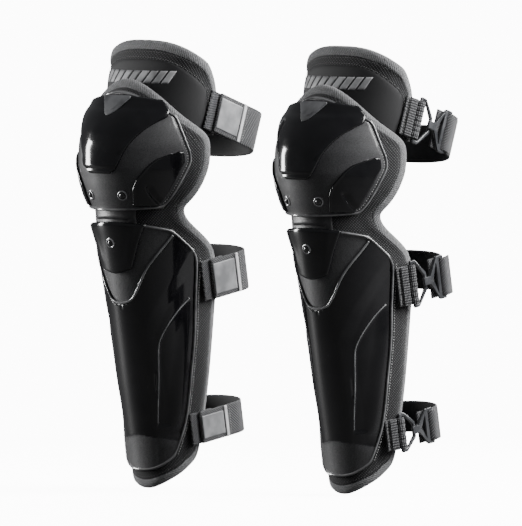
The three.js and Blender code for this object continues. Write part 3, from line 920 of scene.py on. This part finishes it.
def hardPieces(guard, x):
    shinShell(guard, x)
    shinTongue(guard, x)
    kneeCup(guard, x)
    kneeDome(guard, x)
    kneeWing(guard, x, 1)
    kneeWing(guard, x, -1)
    kneeBadge(guard, x)
    linkPlate(guard, x)
    rivetPieces(guard, x, "shinRivet", guard + "_shin_rivet", guard + "_shin", 0, rivet["shinHeight"],
                tongue["out"] - 0.3)
    for side, name in ((1, "right"), (-1, "left")):
        rivetPieces(guard, x, name + "Rivet", guard + "_" + name + "_knee_rivet", guard + "_knee",
                    side * rivet["kneeAngle"], rivet["kneeHeight"], knee["cupOut"] - 0.2)


pair = (("a", 0.0, -1), ("b", 264 * mm, 1))  # name, place and the side the clips are on
for guard, x, clipSide in pair:
    hardPieces(guard, x)
print("shells made")

# the padded liner: shin and knee in one, with a taped edge
liner = {"wall": 5.8, "columns": 72, "rows": 168, "hem": -3.2, "bendLow": 262, "bendHigh": 296}
tapeProfile = ((-9, 2.2), (-8.5, 3.3), (-6.2, 4.0), (-3, 4.2), (-0.4, 3.8), (1.1, 2.3), (1.6, 0), (1.1, -2.3),
               (-0.4, -3.8), (-3, -4.2), (-6.2, -4.0), (-8.5, -3.3), (-9, -2.2))


def linerLow(s):
    return 30 * abs(s)**2.4


def linerHigh(s):
    return 408.9 - 58.4 * abs(s)**2.2


def flare(angle, z):
    # the shin's edges stand out a little from the leg
    return 3.4 * step(70, 112, abs(angle)) * step(6, 40, z) * (1 - step(190, 250, z))


def bendsAtKnee(piece):
    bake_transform(piece)


def linerPiece(guard, x):
    def place(s, t):
        z = linerLow(s) + (linerHigh(s) - linerLow(s)) * (t + 1) / 2
        angle = s * linerEdge(z)
        gap = min(millimetres((1 - abs(s)) * linerEdge(z), z), linerHigh(s) - z, z - linerLow(s))
        puff = 1.0 * exp(-((gap - 13) / 5)**2) - 1.8 * (1 - step(0, 9, gap))
        return legPoint(angle, z, 0.2 + puff + flare(angle, z)), (arcOf(angle, z), z)

    bm = gridPiece(liner["columns"], liner["rows"], place)
    thicken(bm, liner["wall"])
    moveAcross(bm, x)
    piece = finishPiece(guard + "_liner", bm, meshCloth, None,
                        (guard + "_shin_liner", guard + "_knee_liner"))
    bendsAtKnee(piece)

    edge = evenSpots(outline(linerEdge, linerLow, linerHigh, 0.4, 80), 2.2, True)
    frames = surfaceFrames(legPoint, softened(edge, 14, True), lambda angle, z: liner["hem"] + flare(angle, z),
                           True)
    tape = sweep(frames, tapeProfile, True)
    moveAcross(tape, x)
    piece = finishPiece(guard + "_linerTape", tape, bindingTape, None)
    bendsAtKnee(piece)

    seam = softened(evenSpots(outline(linerEdge, linerLow, linerHigh, 10.3, 80), 2.6, True), 10, True)
    threads = stitchRow(legPoint, seam, lambda angle, z: 1.0 + flare(angle, z), 2.9, 1.5, 0.7, True)
    moveAcross(threads, x)
    piece = finishPiece(guard + "_linerStitches", threads, greyThread, None)
    bendsAtKnee(piece)


def shinStitches(guard, x):
    # the pale row that holds the shin's shell, from the top of the pocket to the foot
    bm = bmesh.new()
    for side in (-1, 1):
        row = [(side * (shinEdge(z) + 4.0), z) for z in range(34, 232, 4)]
        joinInto(bm, stitchRow(legPoint, softened(row, 2), 2.0, 2.7, 1.8, 1.1))
    moveAcross(bm, x)
    finishPiece(guard + "_shinStitches", bm, paleThread, guard + "_shin")


# the thigh flap
flap = {"wall": 5.6, "low": 352.6, "columns": 64, "rows": 32, "panelDrop": 17,
        "bars": 9, "firstBar": -42, "barPitch": 9.8, "barHeight": 411.5, "barHalf": 6.2, "barSlant": 3.2}


def flapHigh(s):
    return 447 - 23.4 * abs(s)**3


def panelEdge(z):
    return flapEdge(z) - degrees(19 / ((flapHalf(z) + flapReach(z)) / 2))


def panelHigh(s):
    return flapHigh(s) - flap["panelDrop"] - 9 * abs(s)**4


def flapSheet(edge, low, high, out, columns, rows, wall, puff):
    def place(s, t):
        z = low + (high(s) - low) * (t + 1) / 2
        angle = s * edge(z)
        size = (flapHalf(z) + flapReach(z)) / 2
        gap = min(radians((1 - abs(s)) * edge(z)) * size, high(s) - z)
        return flapPoint(angle, z, out + puff(gap)), (radians(angle) * size, z)

    bm = gridPiece(columns, rows, place)
    thicken(bm, wall)
    return bm


def flapLine(edge, high, inset, low):
    # up one side, over the top and down the other
    def spot(s, z):
        return s * (edge(z) - degrees(inset * 2 / (flapHalf(z) + flapReach(z)))), z

    spots = [spot(-1, z) for z in range(low, int(high(1) - inset), 3)]
    spots += [spot(-1 + k / 40, high(-1 + k / 40) - inset) for k in range(81)]
    spots += [spot(1, z) for z in range(int(high(1) - inset) - 1, low - 1, -3)]
    return softened(evenSpots(spots, 2.4), 10)


def thighFlap(guard, x):
    body = guard + "_thigh"
    bm = flapSheet(flapEdge, flap["low"], flapHigh, -0.2, flap["columns"], flap["rows"], flap["wall"],
                   lambda gap: 0.9 * exp(-((gap - 13) / 4)**2) - 1.7 * (1 - step(0, 8, gap)))
    moveAcross(bm, x)
    piece = finishPiece(guard + "_thighFlap", bm, meshCloth, body, (guard + "_thigh_flap",))

    bm = flapSheet(panelEdge, flap["low"] + 1, panelHigh, 0.5, 48, 28, 0.9,
                   lambda gap: 0.5 * step(0, 10, gap) - 0.8 * (1 - step(0, 1.5, gap)))
    moveAcross(bm, x)
    finishPiece(guard + "_flapPanel", bm, smoothCloth, body)

    rim = flapLine(flapEdge, flapHigh, 0.4, 356)
    tape = sweep(surfaceFrames(flapPoint, rim[::-1], -3.0), tapeProfile)
    moveAcross(tape, x)
    finishPiece(guard + "_flapTape", tape, bindingTape, body)

    threads = stitchRow(flapPoint, flapLine(flapEdge, flapHigh, 10.2, 358), 0.5, 2.7, 1.4, 0.6)
    joinInto(threads, stitchRow(flapPoint, flapLine(panelEdge, panelHigh, -1.2, 358), 0.7, 2.7, 1.5, 0.7))
    moveAcross(threads, x)
    finishPiece(guard + "_flapStitches", threads, greyThread, body)

    bars = bmesh.new()
    for k in range(flap["bars"]):
        middle = flap["firstBar"] + k * flap["barPitch"]

        def place(s, t):
            angle = middle + 3.7 * s + flap["barSlant"] * t
            return flapPoint(angle, flap["barHeight"] + flap["barHalf"] * t, 1.25), (angle, t)

        bar = gridPiece(6, 6, place)
        thicken(bar, 0.5)
        joinInto(bars, bar)
    moveAcross(bars, x)
    finishPiece(guard + "_flapBars", bars, printInk, body)


# straps
# drawn with X across the leg, Y back from the liner's edge and Z the width, with the buckle at +X
strapSizes = {
    "thigh": {"height": 374, "edge": 13, "tilt": -19, "width": 40, "turn": 60, "back": 96, "side": 63},
    "calf": {"height": 210, "edge": 16, "tilt": 10, "width": 40, "turn": 52, "back": 83, "side": 54.2},
    "ankle": {"height": 61.04, "edge": 13, "tilt": 10, "width": 32, "turn": 58, "back": 90, "side": 41.4},
}
strapShape = {"lift": 4.82, "bar": -1.5, "crossBar": 17.5, "frameEnd": 19, "far": 41.5, "band": 2.4,
              "fold": ((4.72, 36.5, (1, 0)), (8.6, 37.4, (0.5, -0.8)), (11.2, 39.6, (1, -0.2)),
                       (10.6, 43.6, (1, 0.4)), (7.6, 52, (1, 0.3)))}  # the lap behind the clip


def strapMatrix(name, clipSide, x):
    size = strapSizes[name]
    turned = Matrix.Rotation(radians(size["tilt"]), 4, "X")
    place = Matrix.Translation((x, size["edge"] * mm, size["height"] * mm))
    return place @ turned @ Matrix.Scale(clipSide, 4, (1, 0, 0))


def bandTrack(size):
    # the band's middle line from the clip to the hooks: distance along it, place, and the way out of the loop
    wide = size["side"] + 3.52 + strapShape["band"] / 2
    turn, deep = size["turn"] - size["edge"], size["back"] - size["turn"]
    spots = [(Vector((wide, 24.5 + (turn - 24.5) * k / 10, 0)), Vector((1, 0, 0))) for k in range(10)]
    for k in range(91):
        a = pi * k / 90
        spots.append((Vector((wide * cos(a), turn + deep * sin(a), 0)),
                      Vector((deep * cos(a), wide * sin(a), 0)).normalized()))
    spots += [(Vector((-wide, turn - (turn + 7) * k / 12, 0)), Vector((-1, 0, 0))) for k in range(1, 13)]
    track, travel = [], 0.0
    for i, (spot, normal) in enumerate(spots):
        travel += (spot - spots[i - 1][0]).length if i else 0
        track.append((travel, spot, normal))
    return track


def bandSpot(track, travel):
    i = min(max(bisect_right([mark[0] for mark in track], travel) - 1, 0), len(track) - 2)
    t = (travel - track[i][0]) / (track[i + 1][0] - track[i][0])
    return track[i][1].lerp(track[i + 1][1], t), track[i][2].lerp(track[i + 1][2], t).normalized()


def clothProfile(width, thick):
    # a flat woven section with rounded selvedges, centred on the middle line
    half, t = width / 2, thick / 2
    return ((-half, 0), (-half + 0.4, t * 0.8), (-half + 1.2, t), (-half * 0.5, t), (0, t), (half * 0.5, t),
            (half - 1.2, t), (half - 0.4, t * 0.8), (half, 0), (half - 0.4, -t * 0.8), (half - 1.2, -t),
            (half * 0.5, -t), (0, -t), (-half * 0.5, -t), (-half + 1.2, -t), (-half + 0.4, -t * 0.8))


def bandFrames(track, first, last, out, count):
    frames = []
    for k in range(count + 1):
        spot, normal = bandSpot(track, first + (last - first) * k / count)
        frames.append((spot + normal * out, Vector((0, 0, 1)), normal))
    return frames


def boxPiece(low, high, rim=0.5):
    # a block with rounded edges between two corners, in millimetres
    bm = bmesh.new()
    bm.loops.layers.uv.new("pattern")
    size = Vector(high) - Vector(low)
    middle = (Vector(high) + Vector(low)) / 2
    bmesh.ops.create_cube(bm, size=1,
                          matrix=Matrix.Translation(middle * mm) @ Matrix.Diagonal((*(size * mm), 1)))
    bmesh.ops.bevel(bm, geom=bm.edges[:], offset=rim * mm, segments=2, affect="EDGES", profile=0.5, material=-1)
    uv = bm.loops.layers.uv["pattern"]
    for face in bm.faces:
        for loop in face.loops:
            loop[uv].uv = loop.vert.co.zy
    return bm


def ringPlate(outer, inner, near, thick, corner=1.4, rim=0.55):
    # a flat ring between two outlines with as many corners, thick along X, with rounded corners and rims
    bm = bmesh.new()
    bm.loops.layers.uv.new("pattern")
    edges = []
    for spots in (outer, inner):
        ring = [bm.verts.new((near * mm, p * mm, w * mm)) for p, w in spots]
        edges += [bm.edges.new((ring[i], ring[(i + 1) % len(ring)])) for i in range(len(ring))]
    bmesh.ops.bridge_loops(bm, edges=edges)
    grown = bmesh.ops.extrude_face_region(bm, geom=bm.faces[:], use_keep_orig=True)["geom"]
    bmesh.ops.translate(bm, vec=(thick * mm, 0, 0),
                        verts=[v for v in grown if isinstance(v, bmesh.types.BMVert)])
    bmesh.ops.recalc_face_normals(bm, faces=bm.faces[:])
    posts = [e for e in bm.edges if abs(e.verts[0].co.x - e.verts[1].co.x) > thick * mm * 0.5
             and e.calc_face_angle(0) > radians(12)]
    bmesh.ops.bevel(bm, geom=posts, offset=corner * mm, segments=3, affect="EDGES", profile=0.5, material=-1,
                    clamp_overlap=True)
    rims = [e for e in bm.edges if abs(e.verts[0].co.x - e.verts[1].co.x) < 1e-7
            and e.calc_face_angle(0) > radians(60)]
    bmesh.ops.bevel(bm, geom=rims, offset=rim * mm, segments=2, affect="EDGES", profile=0.5, material=-1,
                    clamp_overlap=True)
    uv = bm.loops.layers.uv["pattern"]
    for face in bm.faces:
        for loop in face.loops:
            loop[uv].uv = loop.vert.co.yz
    return bm


def webbingTab(name, guard, matrix, body):
    size = strapSizes[name]
    lift, bar, width = strapShape["lift"], strapShape["bar"], size["width"]
    centre = size["side"] + lift
    loop = [(Vector((size["side"] + 1.1, bar - 18.5 + k * 18.5 / 10, 0)), Vector((0, 0, 1)), Vector((1, 0, 0)))
            for k in range(10)]
    for k in range(17):
        a = pi - k * pi * 1.5 / 16
        normal = Vector((cos(a), sin(a), 0))
        loop.append((Vector((centre + 3.72 * cos(a), bar + 3.72 * sin(a), 0)), Vector((0, 0, 1)), normal))
    loop += [(Vector((centre + 1.6 - k * 0.5, bar - 5 - k * 1.5, 0)), Vector((0, 0, 1)),
              Vector((0.9, -0.3, 0)).normalized()) for k in range(1, 7)]
    bm = sweep(loop, clothProfile(width - 0.6, 2.0))
    for rib in range(-3, 4):
        ridge = sweep([(p + s * (rib * width / 8), s, n) for p, s, n in loop[:26]],
                      ((-1.3, 0.6), (-0.8, 1.25), (0, 1.4), (0.8, 1.25), (1.3, 0.6)))
        joinInto(bm, ridge)
    shift(bm, matrix)
    finishPiece(guard + "_" + name + "Tab", bm, ribbedWeb, body,
                (guard + "_" + name + "_webbing_tab",))
    threads = bmesh.new()
    threads.loops.layers.uv.new("pattern")
    for p in (-17, -14.5, -6.5):
        for k in range(int(width / 3)):
            w = -width / 2 + 2 + k * 3
            where = Vector((size["side"] + 2.5, bar + p, w)) * mm
            bmesh.ops.create_icosphere(threads, subdivisions=1, radius=mm,
                                       matrix=Matrix.Translation(where) @ Matrix.Diagonal((0.5, 0.5, 1.1, 1)))
    shift(threads, matrix)
    finishPiece(guard + "_" + name + "TabStitches", threads, paleThread, body)


def buckle(name, guard, matrix):
    size = strapSizes[name]
    lift, bar, end = strapShape["lift"], strapShape["bar"], strapShape["frameEnd"]
    wide = size["width"] / 2 + 0.6
    near, shoulder = bar - 1.5, bar + lift + 1
    x = size["side"] + lift - 1.5
    outer = [(near, -wide - 3.4), (shoulder, -wide - 3.4), (end, -8), (end, 8), (shoulder, wide + 3.4),
             (near, wide + 3.4)]
    inner = [(near + 3, -wide), (shoulder, -wide), (end - 3, -5.4), (end - 3, 5.4), (shoulder, wide),
             (near + 3, wide)]
    bm = ringPlate(outer, inner, x, 3.0, 1.6, 0.8)
    shift(bm, matrix)
    finishPiece(guard + "_" + name + "Buckle", bm, bucklePlastic, guard + "_" + name + "_frame",
                (guard + "_" + name + "_buckle_frame",), flatAngle=50)

    body = guard + "_" + name + "_band"
    half = size["width"] / 2 + 2
    far, cross = strapShape["far"], strapShape["crossBar"]
    x = size["side"] + lift + 2.4
    outer = [(cross - 6, -3.8), (cross + 3, -3.8), (far - 10, -half + 1.2), (far - 6.5, -half),
             (far - 6.5, half), (far - 10, half - 1.2), (cross + 3, 3.8), (cross - 6, 3.8)]
    inner = [(cross + 5, -0.9), (cross + 7.5, -1.8), (far - 11.5, -half + 7), (far - 10.5, -half + 6.6),
             (far - 10.5, half - 6.6), (far - 11.5, half - 7), (cross + 7.5, 1.8), (cross + 5, 0.9)]
    bm = ringPlate(outer, inner, x, 2.8, 1.2, 0.8)
    outer = [(far - 9.5, -half), (far, -half), (far, half), (far - 9.5, half)]
    inner = [(far - 6.2, -half + 2.6), (far - 2.6, -half + 2.6), (far - 2.6, half - 2.6),
             (far - 6.2, half - 2.6)]
    joinInto(bm, ringPlate(outer, inner, x - 0.1, 3.0, 1.2, 0.8))
    for side in (-1, 1):
        joinInto(bm, boxPiece((x - 2.6, cross + 2.0, side * 3.0 - 1.1),
                              (x + 0.6, cross + 4.4, side * 3.0 + 1.1)))
    shift(bm, matrix)
    finishPiece(guard + "_" + name + "Clip", bm, bucklePlastic, body,
                (guard + "_" + name + "_hook_clip",), flatAngle=50)


def band(name, guard, matrix):
    size = strapSizes[name]
    body = guard + "_" + name + "_band"
    width, track = size["width"], bandTrack(size)
    total = track[-1][0]
    bm = sweep(bandFrames(track, 0, total, 0, 120), clothProfile(width, strapShape["band"]))
    fold = [(Vector((size["side"] + out, back, 0)), Vector((0, 0, 1)), Vector((*lean, 0)).normalized())
            for out, back, lean in strapShape["fold"]]
    joinInto(bm, sweep(fold, clothProfile(width - 1, 2.0)))
    shift(bm, matrix)
    finishPiece(guard + "_" + name + "Band", bm, elasticWeb, body,
                (guard + "_" + name + "_elastic_strap",))
    lining = sweep(bandFrames(track, 2, total - 2, -strapShape["band"] / 2 - 0.15, 100),
                   clothProfile(width - 1.6, 0.5))
    shift(lining, matrix)
    finishPiece(guard + "_" + name + "BandLining", lining, smoothCloth, body)

    hem = total - 36.5
    tab = sweep(bandFrames(track, total - 1, total - 33, 1.55, 20), clothProfile(width - 9, 0.9))
    shift(tab, matrix)
    finishPiece(guard + "_" + name + "HookTab", tab, hookPlastic, body)
    bar = sweep(bandFrames(track, hem - 1.8, hem + 1.8, 1.7, 4), clothProfile(width - 0.5, 1.7))
    shift(bar, matrix)
    finishPiece(guard + "_" + name + "HemBar", bar, hookRim, body)
    threads = bmesh.new()
    threads.loops.layers.uv.new("pattern")
    for row, start in ((3.6, 0), (6.0, 1.2)):
        for k in range(int((width - 4) / 2.6)):
            spot, normal = bandSpot(track, hem - row)
            where = spot + normal * 1.35 + Vector((0, 0, -width / 2 + 2.6 + start + k * 2.6))
            turn = Matrix.Translation(where * mm) @ normal.to_track_quat("Z", "Y").to_matrix().to_4x4()
            bmesh.ops.create_icosphere(threads, subdivisions=1, radius=mm,
                                       matrix=turn @ Matrix.Diagonal((0.9, 0.45, 0.35, 1)))
    shift(threads, matrix)
    finishPiece(guard + "_" + name + "HemStitches", threads, paleThread, body)


def loopStub(name, guard, matrix, body):
    size = strapSizes[name]
    width = size["width"]
    bm = boxPiece((-size["side"] - 2.0, -18, -width / 2), (-size["side"], 14, width / 2), 0.6)
    shift(bm, matrix)
    finishPiece(guard + "_" + name + "Pile", bm, loopPile, body,
                (guard + "_" + name + "_loop_stub",))
    threads = bmesh.new()
    threads.loops.layers.uv.new("pattern")
    for k in range(int(width / 2.6)):
        for p in (-16.5, -4.5):
            where = Vector((-size["side"] - 2.2, p, -width / 2 + 1.6 + k * 2.6)) * mm
            bmesh.ops.create_icosphere(threads, subdivisions=1, radius=mm,
                                       matrix=Matrix.Translation(where) @ Matrix.Diagonal((0.4, 0.45, 0.85, 1)))
    for k in range(5):
        for w in (-width / 2 + 1.3, width / 2 - 1.3):
            where = Vector((-size["side"] - 2.2, -15.4 + k * 2.6, w)) * mm
            bmesh.ops.create_icosphere(threads, subdivisions=1, radius=mm,
                                       matrix=Matrix.Translation(where) @ Matrix.Diagonal((0.4, 0.85, 0.45, 1)))
    shift(threads, matrix)
    finishPiece(guard + "_" + name + "PileStitches", threads, greyThread, body)


def softPieces(guard, x, clipSide):
    linerPiece(guard, x)
    shinStitches(guard, x)
    thighFlap(guard, x)
    for name in strapSizes:
        matrix = strapMatrix(name, clipSide, x)
        body = guard + ("_thigh" if name == "thigh" else "_shin")
        webbingTab(name, guard, matrix, body)
        buckle(name, guard, matrix)
        band(name, guard, matrix)
        loopStub(name, guard, matrix, body)


for guard, x, clipSide in pair:
    softPieces(guard, x, clipSide)
print("liners and straps made")
